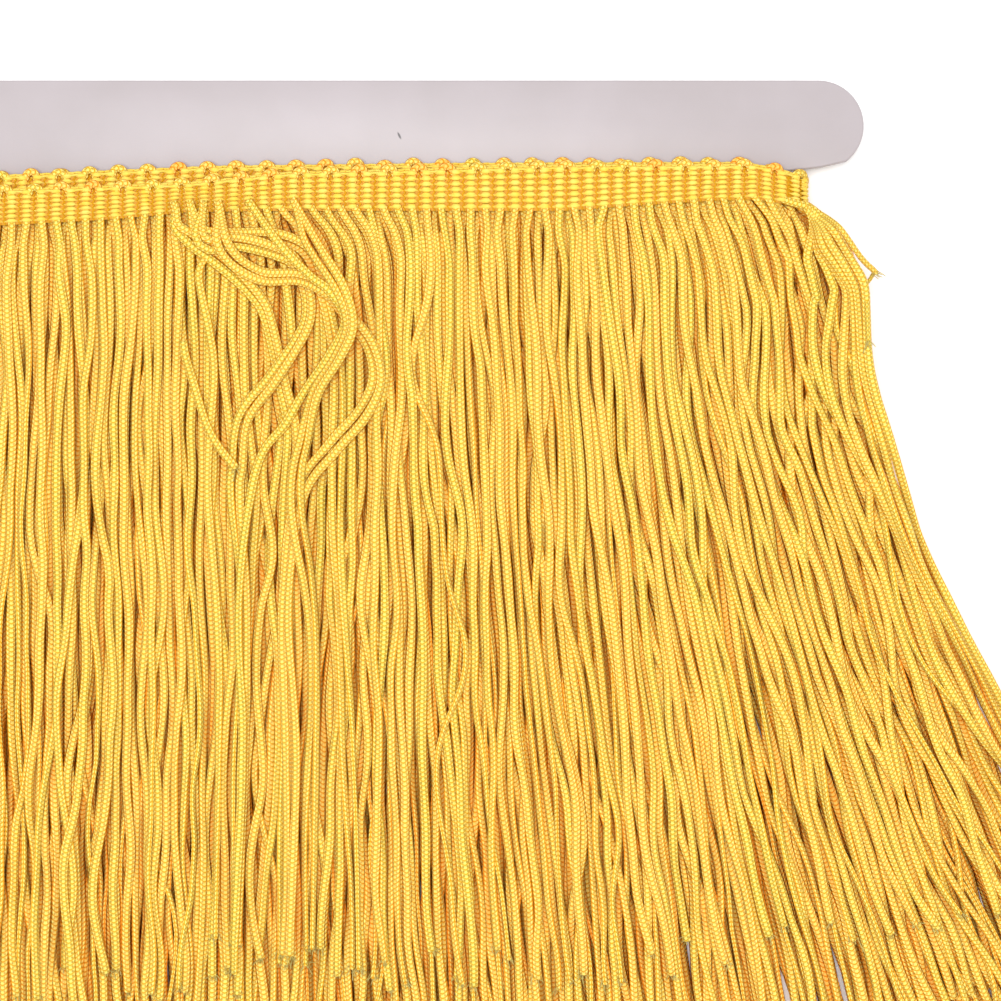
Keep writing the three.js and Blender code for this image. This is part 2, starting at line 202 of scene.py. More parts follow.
# Strands that have slipped over their neighbours, as the places that they pass
LOOSE_STRANDS = [
    {
        "name": "straight_over",
        "strands": 2,
        "x": (-27.4, -26.8, -26.2, -22.8, -15.2, -9.8, -7.8, -5.2, -3.2, -3.6, -4.4, -3.8, -5.0),
        "y": (-3.2, -5.0, -8.0, -10.2, -16.4, -22.4, -27.0, -39.4, -48.6, -62.6, -88, -118, -155),
    },
    {
        "name": "upper_arch",
        "strands": 2,
        "x": (-24.2, -23.6, -21.2, -15.2, -9.0, -3.6, -0.2, 1.8, 4.6, 6.4, 6.0, 8.2, 9.6),
        "y": (-3.0, -4.8, -9.0, -9.4, -9.4, -10.6, -13.0, -17.2, -27.0, -42, -72, -110, -156),
    },
    {
        "name": "closed_loop",
        "strands": 2,
        "x": (
            -21.4, -20.8, -15.2, -10.6, -6.0, -2.8, -0.2, -0.2, -3.2, -7.4, -12.8, -14.0, -14.4, -13.0, -14.6,
        ),
        "y": (
            -3.0, -10.6, -10.4, -11.2, -12.8, -14.8, -21.0, -27.0, -33.2, -39.4, -46.6, -56.2, -62.6,
            -92, -151,
        ),
    },
    {
        "name": "wide_loop",
        "strands": 2,
        "x": (-18.6, -15.8, -9.8, -2.0, 4.0, 7.8, 12.4, 14.0, 11.2, 5.2, -1.8, -4.6, -3.0, -4.2),
        "y": (-3.0, -12.6, -17.2, -17.8, -21.0, -25.6, -31.6, -39.0, -45.8, -52.8, -62.6, -84, -112, -153),
    },
    {
        "name": "inner_loop",
        "strands": 1,
        "x": (-12.6, -6.0, 0.2, 4.0, 7.0, 3.6, -1.4, -5.2, -9.8, -12.4, -14.6, -13.8, -15.4),
        "y": (-3.0, -12.0, -18.4, -21.4, -27.0, -34.0, -40.8, -47.4, -53.0, -62.6, -84, -112, -157),
    },
    {
        "name": "short_bend",
        "strands": 2,
        "x": (-3.8, 1.6, 7.0, 8.6, 6.0, 1.4, -0.6, -2.0, 1.0, 0.2),
        "y": (-2.6, -12.0, -21.0, -28.2, -34.4, -41.6, -50.4, -62.6, -92, -152),
    },
    {
        "name": "stray_curl",
        "strands": 1,
        "x": (-18.0, -19.4, -21.4, -22.2, -21.6, -20.4, -19.6, -20.8, -18.6, -19.2),
        "y": (-13.2, -13.4, -15.2, -18.0, -22.4, -28.6, -38.0, -60, -96, -150),
    },
    {
        "name": "slanting_short",
        "strands": 1,
        "x": (-25.4, -24.6, -21.6, -18.8, -15.2),
        "y": (-31.0, -35.8, -45.8, -51.6, -56.2),
    },
    {
        "name": "edge_strand",
        "strands": 6,
        "x": (98.4, 101.8, 104.8, 107.4, 109.2, 109.8, 110.2, 111.4, 115.0, 125.2, 137.4, 150.0),
        "y": (-4.4, -7.6, -12.0, -16.6, -20.4, -26.0, -34.0, -40.0, -50.8, -78.8, -101.0, -123.0),
    },
    {
        "name": "edge_stub",
        "strands": 1,
        "slimmer": 0.6,
        "x": (99.2, 102.6, 105.6, 108.4, 110.4, 111.6, 112.0),
        "y": (-4.0, -6.8, -10.6, -14.4, -16.4, -17.3, -17.8),
    },
    {
        "name": "edge_stub_turned_back",
        "strands": 1,
        "slimmer": 0.5,
        "x": (112.0, 111.4, 110.2, 109.8, 109.9, 110.2),
        "y": (-17.4, -18.4, -20.2, -23.0, -27.0, -32.0),
    },
]


# Colours and nodes


def linear(hex_colour):
    """An sRGB hex colour as linear RGBA."""
    parts = [int(hex_colour[i : i + 2], 16) / 255 for i in (1, 3, 5)]
    return [c / 12.92 if c <= 0.04045 else ((c + 0.055) / 1.055) ** 2.4 for c in parts] + [1.0]


def add(tree, kind, inputs=None, output=0, **settings):
    """Adds a node, sets it, links or fills its inputs, and returns one of its outputs."""
    node = tree.nodes.new(kind)
    for name, value in settings.items():
        setattr(node, name, value)
    for socket, value in (inputs or {}).items():
        if isinstance(value, bpy.types.NodeSocket):
            tree.links.new(value, node.inputs[socket])
        else:
            node.inputs[socket].default_value = value
    return node.outputs[output]


def smoothstep(low, high, value):
    """0 up to low, 1 from high on, and smooth in between."""
    share = np.clip((np.asarray(value, float) - low) / (high - low), 0, 1)
    return share * share * (3 - 2 * share)


# The winding


def on_winding(distance, outward):
    """Points of the winding at these distances along it and out from the braid's inner face. Returns x, z,
    the lap whose front edges hold there, how far it is on the front, and the outward direction in x and z."""
    distance = np.asarray(distance, float)
    lap = np.floor(distance / LAP).astype(int)
    along = distance - lap * LAP
    radius = CORE_RADIUS + lap * LAP_STEP + outward
    right = np.clip((along - STRAIGHT) / BEND, 0, 1)
    left = np.clip((along - 2 * STRAIGHT - BEND) / BEND, 0, 1)
    angle = (right + left) * math.pi
    radius = radius + left * LAP_STEP
    front_x = np.minimum(along, STRAIGHT) - STRAIGHT_HALF
    back_x = np.maximum(3 * STRAIGHT_HALF + BEND - along, -STRAIGHT_HALF)
    straight_x = np.where(along < STRAIGHT + BEND, front_x, back_x)
    x = straight_x + radius * np.sin(angle)
    z = MID_HEIGHT + radius * np.cos(angle)
    return x, z, lap + (left > 0), (1 + np.cos(angle)) / 2, np.sin(angle), np.cos(angle)


def braid_edge(x, lap, frontness, column):
    """Where the braid's top or bottom edge is."""
    fronts = np.array([np.interp(x, edges["x"], edges[column]) for edges in FRONT_EDGES])
    front = np.take_along_axis(fronts, np.minimum(lap, LAPS - 1)[None, ...], 0)[0]
    back = np.interp(x, BACK_EDGES["x"], BACK_EDGES[column])
    return front * frontness + back * (1 - frontness)


def braid_columns():
    """Distances along the winding of the braid's columns, evenly spaced along the cloth itself."""
    fine = np.arange(WINDING_START, WINDING_END, 0.2)
    x, z, *_ = on_winding(fine, BRAID_THICKNESS / 2)
    run = np.concatenate([[0], np.cumsum(np.hypot(np.diff(x), np.diff(z)))])
    return np.interp(np.arange(FIRST_COLUMN, run[-1] - 1.5, COLUMN_PITCH), run, fine)


# Yarn: one tree of nodes sweeps every kind of it along its path


def yarn_tree():
    """Edges in, closed tubes out. Each point says which way its section is wide and thick, and how much."""
    tree = bpy.data.node_groups.new("swept_yarn", "GeometryNodeTree")
    face = tree.interface
    face.new_socket("Paths", in_out="INPUT", socket_type="NodeSocketGeometry")
    sides = face.new_socket("Sides", in_out="INPUT", socket_type="NodeSocketInt")
    groove = face.new_socket("Groove", in_out="INPUT", socket_type="NodeSocketFloat")
    finish = face.new_socket("Finish", in_out="INPUT", socket_type="NodeSocketMaterial")
    face.new_socket("Yarn", in_out="OUTPUT", socket_type="NodeSocketGeometry")
    given = tree.nodes.new("NodeGroupInput")
    half_width, half_thickness, wide_way, thick_way, along = (
        add(tree, "GeometryNodeInputNamedAttribute", {"Name": key}, data_type=kind)
        for key, kind in (
            ("half_width", "FLOAT"),
            ("half_thickness", "FLOAT"),
            ("wide_way", "FLOAT_VECTOR"),
            ("thick_way", "FLOAT_VECTOR"),
            ("along", "FLOAT"),
        )
    )

    # The path, which remembers where its middle is, and a ring, which remembers how far round each point is
    curve = add(tree, "GeometryNodeMeshToCurve", {"Mesh": given.outputs["Paths"]})
    path = tree.nodes.new("GeometryNodeCaptureAttribute")
    path.capture_items.new("VECTOR", "centre")
    tree.links.new(curve, path.inputs["Geometry"])
    tree.links.new(add(tree, "GeometryNodeInputPosition"), path.inputs["centre"])
    points = add(tree, "ShaderNodeMath", {0: given.outputs["Sides"], 1: 1.0}, operation="ADD")
    circle = {"Resolution": points, "Radius": 1.0, "Sweep Angle": 2 * math.pi}
    ring = add(tree, "GeometryNodeCurveArc", circle, mode="RADIUS")
    around = tree.nodes.new("GeometryNodeCaptureAttribute")
    around.capture_items.new("FLOAT", "around")
    tree.links.new(ring, around.inputs["Geometry"])
    tree.links.new(add(tree, "GeometryNodeSplineParameter"), around.inputs["around"])
    swept = {"Curve": path.outputs["Geometry"], "Profile Curve": around.outputs["Geometry"]}
    swept = add(tree, "GeometryNodeCurveToMesh", swept)

    # The section: an ellipse that dips along the middle of both its faces
    turn = add(tree, "ShaderNodeMath", {0: around.outputs["around"], 1: 2 * math.pi}, operation="MULTIPLY")
    across = add(tree, "ShaderNodeMath", {0: turn}, operation="COSINE")
    upward = add(tree, "ShaderNodeMath", {0: turn}, operation="SINE")
    middle = add(tree, "ShaderNodeMath", {0: across, 1: across}, operation="MULTIPLY")
    dent = add(tree, "ShaderNodeMath", {0: middle, 1: given.outputs["Groove"]}, operation="MULTIPLY")
    dent = add(tree, "ShaderNodeMath", {0: dent, 1: given.outputs["Groove"]}, operation="SUBTRACT")
    dent = add(tree, "ShaderNodeMath", {0: dent, 1: 1.0}, operation="ADD")
    upward = add(tree, "ShaderNodeMath", {0: upward, 1: dent}, operation="MULTIPLY")
    across = add(tree, "ShaderNodeMath", {0: across, 1: half_width}, operation="MULTIPLY")
    upward = add(tree, "ShaderNodeMath", {0: upward, 1: half_thickness}, operation="MULTIPLY")
    sideways = add(tree, "ShaderNodeVectorMath", {0: wide_way, "Scale": across}, operation="SCALE")
    outwards = add(tree, "ShaderNodeVectorMath", {0: thick_way, "Scale": upward}, operation="SCALE")
    offset = add(tree, "ShaderNodeVectorMath", {0: sideways, 1: outwards}, operation="ADD")
    place = add(tree, "ShaderNodeVectorMath", {0: path.outputs["centre"], 1: offset}, operation="ADD")
    shaped = add(tree, "GeometryNodeSetPosition", {"Geometry": swept, "Position": place})

    uv = add(tree, "ShaderNodeCombineXYZ", {0: around.outputs["around"], 1: along})
    mapped = {"Geometry": shaped, "Name": "UVMap", "Value": uv}
    mapped = add(tree, "GeometryNodeStoreNamedAttribute", mapped, data_type="FLOAT2", domain="CORNER")
    closed = add(tree, "GeometryNodeMergeByDistance", {"Geometry": mapped, "Distance": MERGED * MM})
    smooth = add(tree, "GeometryNodeSetShadeSmooth", {"Geometry": closed})
    dressed = add(tree, "GeometryNodeSetMaterial", {"Geometry": smooth, "Material": given.outputs["Finish"]})
    real = add(tree, "GeometryNodeRealizeInstances", {"Geometry": dressed})
    result = tree.nodes.new("NodeGroupOutput")
    tree.links.new(real, result.inputs["Yarn"])
    return tree, {"Sides": sides.identifier, "Groove": groove.identifier, "Finish": finish.identifier}


YARN_TREE, YARN_INPUTS = yarn_tree()


def unit(vectors):
    return vectors / np.maximum(np.linalg.norm(vectors, axis=-1, keepdims=True), 1e-9)


def run_along(points):
    """How far along its path each point is, in the plane or in space."""
    steps = np.diff(points, axis=0)
    lengths = np.hypot(*steps.T) if points.shape[1] == 2 else np.linalg.norm(steps, axis=1)
    return np.concatenate([[0], np.cumsum(lengths)])


def path_mesh(name, paths):
    """The paths as edges, each with its sections' directions and sizes on its points."""
    mesh = bpy.data.meshes.new(name)
    points = np.concatenate([path["points"] for path in paths]) * MM
    starts = np.cumsum([0] + [len(path["points"]) for path in paths])
    firsts = np.concatenate([np.arange(start, end - 1) for start, end in zip(starts[:-1], starts[1:])])
    edges = np.stack([firsts, firsts + 1], 1)
    mesh.vertices.add(len(points))
    mesh.vertices.foreach_set("co", points.ravel())
    mesh.edges.add(len(edges))
    mesh.edges.foreach_set("vertices", edges.ravel())
    ways = {"wide_way": [], "thick_way": []}
    for path in paths:
        ahead = unit(np.gradient(path["points"], axis=0))
        wide = unit(path["wide_way"] - ahead * np.sum(path["wide_way"] * ahead, 1, keepdims=True))
        ways["wide_way"].append(wide)
        ways["thick_way"].append(np.cross(ahead, wide))
    for key, vectors in ways.items():
        layer = mesh.attributes.new(key, "FLOAT_VECTOR", "POINT")
        layer.data.foreach_set("vector", np.concatenate(vectors).ravel())
    for key, scale in (("half_width", MM), ("half_thickness", MM), ("along", 1.0), ("tone", 1.0)):
        layer = mesh.attributes.new(key, "FLOAT", "POINT")
        layer.data.foreach_set("value", np.concatenate([path[key] for path in paths]) * scale)
    return mesh


def yarn(name, paths, material, sides=8, groove=0.0):
    """Sweeps yarn along paths, each a dict from path_of, and returns it as one piece."""
    source = bpy.data.objects.new(name + "_paths", path_mesh(name + "_paths", paths))
    bpy.context.collection.objects.link(source)
    modifier = source.modifiers.new("yarn", "NODES")
    modifier.node_group = YARN_TREE
    modifier[YARN_INPUTS["Sides"]] = sides
    modifier[YARN_INPUTS["Groove"]] = groove
    modifier[YARN_INPUTS["Finish"]] = material
    depsgraph = bpy.context.evaluated_depsgraph_get()
    made = bpy.data.meshes.new_from_object(source.evaluated_get(depsgraph))
    bpy.data.objects.remove(source)
    made.name = name
    for key in ("wide_way", "thick_way", "half_width", "half_thickness", "along"):
        if key in made.attributes:
            made.attributes.remove(made.attributes[key])
    piece = bpy.data.objects.new(name, made)
    bpy.context.collection.objects.link(piece)
    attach(piece, "root")
    return piece


def path_of(points, wide_way, half_width, half_thickness, along, tone):
    """One yarn's path, closed at both ends by a point where its section has no size."""
    count = len(points)
    half_width = np.broadcast_to(half_width, count).astype(float)
    half_thickness = np.broadcast_to(half_thickness, count).astype(float)
    before = points[:1] + unit(points[:1] - points[1:2]) * FIRST_CAP
    after = points[-1:] + unit(points[-1:] - points[-2:-1]) * LAST_CAP
    wide_way = np.broadcast_to(wide_way, points.shape)
    zero = np.zeros(1)
    return {
        "points": np.concatenate([before, points, after]),
        "wide_way": np.concatenate([wide_way[:1], wide_way, wide_way[-1:]]),
        "half_width": np.concatenate([zero, half_width, zero]),
        "half_thickness": np.concatenate([zero, half_thickness, zero]),
        "along": np.concatenate([along[:1], along, along[-1:]]),
        "tone": np.full(count + 2, tone),
    }


# Finishes


def blank_material(name):
    material = bpy.data.materials.new(name)
    material.use_nodes = True
    material.node_tree.nodes.clear()
    return material, material.node_tree


def surface(tree, colour, normal, settings):
    """Ends a material: its colour, its relief and the numbers that are the same all over it."""
    shader = add(tree, "ShaderNodeBsdfPrincipled", {"Base Color": colour, "Normal": normal, **settings})
    output = tree.nodes.new("ShaderNodeOutputMaterial")
    tree.links.new(shader, output.inputs["Surface"])


def chainette_painted_light_finish(name):
    """Rayon chainette: a knitted cord of stacked V stitches. Each leg of a V carries a painted highlight, and
    a small dot where two stitches part is a pit in the relief that is painted dark as shade. Painted shade
    also darkens the valleys between the legs and the sides of the cord. Where a strand lies in a gap, painted
    shade turns it orange, standing for light that has bounced between the saturated strands."""
    material, tree = blank_material(name)
    uv = add(tree, "ShaderNodeUVMap", uv_map="UVMap")
    around = add(tree, "ShaderNodeSeparateXYZ", {0: uv})
    along = around.node.outputs[1]
    place = add(tree, "ShaderNodeTexCoord", output="Object")

    # Across is 0 at the middle of a wale and 1 at its sides. The legs of a V start ahead of its middle.
    wales = add(tree, "ShaderNodeMath", {0: around, 1: WALES}, operation="MULTIPLY")
    wale = add(tree, "ShaderNodeMath", {0: wales}, operation="FRACT")
    across = add(tree, "ShaderNodeMath", {0: wale, 1: 2.0, 2: -1.0}, operation="MULTIPLY_ADD")
    across = add(tree, "ShaderNodeMath", {0: across}, operation="ABSOLUTE")
    slant = add(tree, "ShaderNodeMath", {0: across, 1: STITCH_SLANT}, operation="MULTIPLY")
    courses = add(tree, "ShaderNodeMath", {0: along, 1: 1 / STITCH_PITCH, 2: slant}, operation="MULTIPLY_ADD")
    stitch = add(tree, "ShaderNodeMath", {0: courses}, operation="FRACT")
    turn = add(tree, "ShaderNodeMath", {0: stitch, 1: math.pi}, operation="MULTIPLY")
    swell = add(tree, "ShaderNodeMath", {0: turn}, operation="SINE")
    leg = add(tree, "ShaderNodeMath", {0: swell, 1: 0.6}, operation="POWER")

    # Each leg is lower where it meets the other one and where it goes under the edge of the cord.
    centre = {"Value": across, "From Min": 0.0, "From Max": 0.18, "To Min": 0.6, "To Max": 1.0}
    centre = add(tree, "ShaderNodeMapRange", centre, interpolation_type="SMOOTHSTEP")
    side = {"Value": across, "From Min": 0.62, "From Max": 0.95, "To Min": 1.0, "To Max": 0.6}
    side = add(tree, "ShaderNodeMapRange", side, interpolation_type="SMOOTHSTEP")
    raised = add(tree, "ShaderNodeMath", {0: leg, 1: centre}, operation="MULTIPLY")
    raised = add(tree, "ShaderNodeMath", {0: raised, 1: side}, operation="MULTIPLY")

    # The dot where two stitches part: a pit in the relief, which is also painted dark as shade
    parting = add(tree, "ShaderNodeMath", {0: along, 1: 1 / STITCH_PITCH}, operation="MULTIPLY")
    parting = add(tree, "ShaderNodeMath", {0: parting, 1: 0.26}, operation="ADD")
    parting = add(tree, "ShaderNodeMath", {0: parting}, operation="FRACT")
    parting = add(tree, "ShaderNodeMath", {0: parting, 1: 0.5}, operation="SUBTRACT")
    parting = add(tree, "ShaderNodeMath", {0: parting, 1: 2.5}, operation="MULTIPLY")
    parting = add(tree, "ShaderNodeMath", {0: parting, 1: 2.0}, operation="POWER")
    aside = add(tree, "ShaderNodeMath", {0: across, 1: 0.34}, operation="SUBTRACT")
    aside = add(tree, "ShaderNodeMath", {0: aside, 1: 4.0}, operation="MULTIPLY")
    aside = add(tree, "ShaderNodeMath", {0: aside, 1: 2.0}, operation="POWER")
    reach = add(tree, "ShaderNodeMath", {0: parting, 1: aside}, operation="ADD")
    dot = {"Value": reach, "From Min": 0.1, "From Max": 1.0, "To Min": 1.0, "To Max": 0.0}
    dot = add(tree, "ShaderNodeMapRange", dot, interpolation_type="SMOOTHSTEP")

    # Painted shade: the shade is from the strand's own tone, which is darkened as painted shade where the
    # strand lies in a gap or in a lower layer, and from a slow change over the pack. It runs from orange, in
    # a gap, to yellow.
    tone = add(tree, "ShaderNodeAttribute", output="Fac", attribute_name="tone")
    patch = {"Vector": place, "Scale": 1 / (TONE_PATCH * MM), "Detail": 1.0}
    patch = add(tree, "ShaderNodeTexNoise", patch)
    own = add(tree, "ShaderNodeMath", {0: tone, 1: 0.75}, operation="MULTIPLY")
    slow = add(tree, "ShaderNodeMath", {0: patch, 1: 0.25}, operation="MULTIPLY")
    shade = add(tree, "ShaderNodeMath", {0: own, 1: slow}, operation="ADD")
    painted_highlight_share = {"Value": shade, "From Min": 0.0, "From Max": 0.6, "To Min": 0.5, "To Max": 0.95}
    painted_highlight_share = add(tree, "ShaderNodeMapRange", painted_highlight_share, interpolation_type="SMOOTHSTEP")
    lit = add(tree, "ShaderNodeMath", {0: raised, 1: painted_highlight_share}, operation="MULTIPLY")
    # Painted shade: the sides of the cord, the valleys between the legs and the dots are painted darker.
    edge = {"Value": across, "From Min": 0.68, "From Max": 1.0, "To Min": 0.0, "To Max": 0.9}
    edge = add(tree, "ShaderNodeMapRange", edge, interpolation_type="SMOOTHSTEP")
    valley = {"Value": leg, "From Min": 0.35, "From Max": 0.9, "To Min": 0.85, "To Max": 0.0}
    valley = add(tree, "ShaderNodeMapRange", valley, interpolation_type="SMOOTHSTEP")
    hollow = add(tree, "ShaderNodeMath", {0: shade, 1: 0.6, 2: 0.35}, operation="MULTIPLY_ADD")
    hollow = add(tree, "ShaderNodeMath", {0: dot, 1: hollow}, operation="MULTIPLY")

    inputs = {"Factor": shade, "A": linear("#fc9400"), "B": linear("#f0cc28")}
    colour = add(tree, "ShaderNodeMix", inputs, output=2, data_type="RGBA")
    # Painted highlight: the raised legs of the Vs are painted pale yellow.
    inputs = {"Factor": lit, "A": colour, "B": linear("#fcee88")}
    colour = add(tree, "ShaderNodeMix", inputs, output=2, data_type="RGBA")
    # Painted shade on the sides, in the valleys and in the dots: orange where the strand lies in a gap, olive
    # gold on top.
    for amount, in_gap, on_top in (
        (edge, "#ff7c00", "#f0a008"),
        (valley, "#f27c00", "#d8ac18"),
        (hollow, "#d05c00", "#a0860e"),
    ):
        inputs = {"Factor": shade, "A": linear(in_gap), "B": linear(on_top)}
        there = add(tree, "ShaderNodeMix", inputs, output=2, data_type="RGBA")
        inputs = {"Factor": amount, "A": colour, "B": there}
        colour = add(tree, "ShaderNodeMix", inputs, output=2, data_type="RGBA")

    filaments = {"Vector": place, "Scale": 1 / (CORD_FILAMENT * MM), "Detail": 0.0}
    filaments = add(tree, "ShaderNodeTexNoise", filaments)
    relief = add(tree, "ShaderNodeMath", {0: filaments, 1: 0.25}, operation="MULTIPLY")
    relief = add(tree, "ShaderNodeMath", {0: raised, 1: relief}, operation="ADD")
    pit = add(tree, "ShaderNodeMath", {0: dot, 1: 0.5}, operation="MULTIPLY")
    relief = add(tree, "ShaderNodeMath", {0: relief, 1: pit}, operation="SUBTRACT")
    normal = {"Height": relief, "Distance": STITCH_RELIEF * MM, "Strength": 1.0}
    normal = add(tree, "ShaderNodeBump", normal)
    surface(tree, colour, normal, {"Roughness": 0.42, "Specular IOR Level": 0.1})
    return material


def braid_finish(name, dull, bright):
    """Filament rayon laid flat in the braid: fine parallel filaments with a brighter satin than the
    knitted cord, and a slow change of shade along each thread."""
    material, tree = blank_material(name)
    uv = add(tree, "ShaderNodeUVMap", uv_map="UVMap")
    around = add(tree, "ShaderNodeSeparateXYZ", {0: uv})
    along = around.node.outputs[1]
    place = add(tree, "ShaderNodeTexCoord", output="Object")
    twist = add(tree, "ShaderNodeMath", {0: along, 1: 1.1}, operation="MULTIPLY")
    turns = {0: around, 1: 2 * math.pi * FILAMENTS_ROUND, 2: twist}
    turns = add(tree, "ShaderNodeMath", turns, operation="MULTIPLY_ADD")
    filament = add(tree, "ShaderNodeMath", {0: turns}, operation="SINE")
    patch = {"Vector": place, "Scale": 1 / (THREAD_PATCH * MM), "Detail": 1.0}
    patch = add(tree, "ShaderNodeTexNoise", patch)
    inputs = {"Factor": patch, "A": linear(dull), "B": linear(bright)}
    colour = add(tree, "ShaderNodeMix", inputs, output=2, data_type="RGBA")
    fibre = {"Vector": place, "Scale": 1 / (THREAD_FIBRE * MM), "Detail": 1.0}
    fibre = add(tree, "ShaderNodeTexNoise", fibre)
    fibre = add(tree, "ShaderNodeMath", {0: fibre, 1: 0.8}, operation="MULTIPLY")
    relief = add(tree, "ShaderNodeMath", {0: filament, 1: 0.3}, operation="MULTIPLY")
    relief = add(tree, "ShaderNodeMath", {0: relief, 1: fibre}, operation="ADD")
    normal = {"Height": relief, "Distance": THREAD_RELIEF * MM, "Strength": 1.0}
    normal = add(tree, "ShaderNodeBump", normal)
    surface(tree, colour, normal, {"Roughness": 0.4, "Specular IOR Level": 0.16})
    return material


def card_finish():
    """Polypropylene sheet, extruded and die cut: pale, satin, faintly mottled, with one short dark mark."""
    material, tree = blank_material("extruded_polypropylene_sheet")
    place = add(tree, "ShaderNodeTexCoord", output="Object")
    mottle = {"Vector": place, "Scale": 1 / (CARD_MOTTLE * MM), "Detail": 4.0}
    mottle = add(tree, "ShaderNodeTexNoise", mottle)
    ramp = add(tree, "ShaderNodeValToRGB", {0: mottle})
    elements = ramp.node.color_ramp.elements
    elements[0].position, elements[0].color = 0.3, linear("#a49b9d")
    elements[1].position, elements[1].color = 0.7, linear("#aaa1a4")
    centre = (CARD_MARK["x"] * MM, CARD_MARK["y"] * MM, 0)
    shape = (1 / (CARD_MARK["half_width"] * MM), 1 / (CARD_MARK["half_length"] * MM), 0)
    turned = {"Vector": place, "Center": centre, "Angle": -CARD_MARK["lean"]}
    away = add(tree, "ShaderNodeVectorRotate", turned, rotation_type="Z_AXIS")
    away = add(tree, "ShaderNodeVectorMath", {0: away, 1: centre}, operation="SUBTRACT")
    away = add(tree, "ShaderNodeVectorMath", {0: away, 1: shape}, operation="MULTIPLY")
    away = add(tree, "ShaderNodeVectorMath", {0: away}, output="Value", operation="LENGTH")
    inside = add(tree, "ShaderNodeMapRange", {"Value": away, "From Min": 1.0, "From Max": 0.5, "To Max": 0.9})
    inputs = {"Factor": inside, "A": ramp, "B": linear("#2c2626")}
    colour = add(tree, "ShaderNodeMix", inputs, output=2, data_type="RGBA")
    grain = {"Vector": place, "Scale": 1 / (CARD_GRAIN * MM), "Detail": 2.0}
    grain = add(tree, "ShaderNodeTexNoise", grain)
    normal = {"Height": grain, "Distance": CARD_RELIEF * MM, "Strength": 0.5}
    normal = add(tree, "ShaderNodeBump", normal)
    surface(tree, colour, normal, {"Roughness": 0.42, "IOR": 1.49})
    return material


STRAND_FINISH_WITH_PAINTED_LIGHT = chainette_painted_light_finish("rayon_chainette_cord_painted_light")
BRAID_FINISH = braid_finish("rayon_braid_thread", "#f8c428", "#f8e47a")
CUT_FINISH = braid_finish("rayon_cut_filaments", "#f8dc60", "#fff2a8")
# Painted shade: the ground and the ties lie in the hollows between the columns, so they are painted darker
# and more orange than the bars.
GROUND_FINISH_PAINTED_SHADE = braid_finish("rayon_ground_thread_painted_shade", "#be8404", "#d29608")
TIE_FINISH_PAINTED_SHADE = braid_finish("rayon_tie_thread_painted_shade", "#eea404", "#f6be18")


# The card


def arc(lobe, start, end, steps):
    """Points round a lobe of the card, between two angles in degrees."""
    x, y, radius = lobe["x"], lobe["y"], lobe["radius"]
    angles = np.radians(np.linspace(start, end, steps + 1))
    return [(x + radius * math.cos(a), y + radius * math.sin(a)) for a in angles]


def winding_card():
    """The card's outline, extruded, with its die-cut edges slightly rounded."""
    right = [
        *arc(UPPER_LOBE, 90, -51.6, 40),
        (STRAIGHT_HALF + 8.6, 4.2),
        (STRAIGHT_HALF + 1.4, 3.4),
        (NECK_HALF, 1.8),
        (NECK_HALF, -11.1),
        (STRAIGHT_HALF + 1.4, -12.7),
        *arc(LOWER_LOBE, 90, -90, 28),
    ]
    outline = right + [(-x, y) for x, y in reversed(right)]
    plate = bmesh.new()
    vertices = [plate.verts.new((x * MM, y * MM, CARD_BACK * MM)) for x, y in outline]
    bottom = plate.faces.new(vertices)
    bottom.normal_update()
    if bottom.normal.z > 0:
        bottom.normal_flip()
    lifted = bmesh.ops.extrude_face_region(plate, geom=[bottom])["geom"]
    moved = [item for item in lifted if isinstance(item, bmesh.types.BMVert)]
    bmesh.ops.translate(plate, verts=moved, vec=(0, 0, CARD_THICKNESS * MM))
    bmesh.ops.recalc_face_normals(plate, faces=plate.faces)
    rims = [e for e in plate.edges if abs(e.verts[0].co.z - e.verts[1].co.z) < 1e-7]
    bmesh.ops.bevel(plate, geom=rims, offset=CARD_ROUND * MM, segments=3, affect="EDGES", profile=0.5)
    mesh = bpy.data.meshes.new("card_plate")
    plate.to_mesh(mesh)
    plate.free()
    for polygon in mesh.polygons:
        polygon.use_smooth = True
    mesh.materials.append(card_finish())
    piece = bpy.data.objects.new("card_plate", mesh)
    bpy.context.collection.objects.link(piece)
    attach(piece, "root")
    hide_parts("winding_card")


# The fringe: the surface that strands are laid on, in cells

CELL = 0.25
FIELD_LOW = (-150.0, -185.0)
FIELD_SIZE = (1360, 800)


def blurred(values, spread):
    """The values evened out over about this many neighbours to each side."""
    reach = int(3 * spread) + 1
    weights = np.exp(-0.5 * (np.arange(-reach, reach + 1) / spread) ** 2)
    return np.convolve(np.pad(values, reach, mode="edge"), weights / weights.sum(), mode="valid")


def evenly(path, step):
    """A path in the plane as evenly spaced points. Returns how far along it its own points are and the
    new ones are, the places of the new ones, and the direction across the path at each."""
    run = run_along(path)
    fine = np.arange(0, run[-1], step)
    x = np.interp(fine, run, path[:, 0])
    y = np.interp(fine, run, path[:, 1])
    return run, fine, x, y, unit(np.stack([-np.gradient(y), np.gradient(x)], 1))


def section(half_width, half_thickness):
    """Places across a strand, a cell apart, and how far its round faces stand from its middle there."""
    offsets = np.arange(-int(half_width / CELL), int(half_width / CELL) + 1) * CELL
    belly = half_thickness * np.sqrt(np.clip(1 - (offsets / (half_width + 0.05)) ** 2, 0, 1))
    return offsets, belly


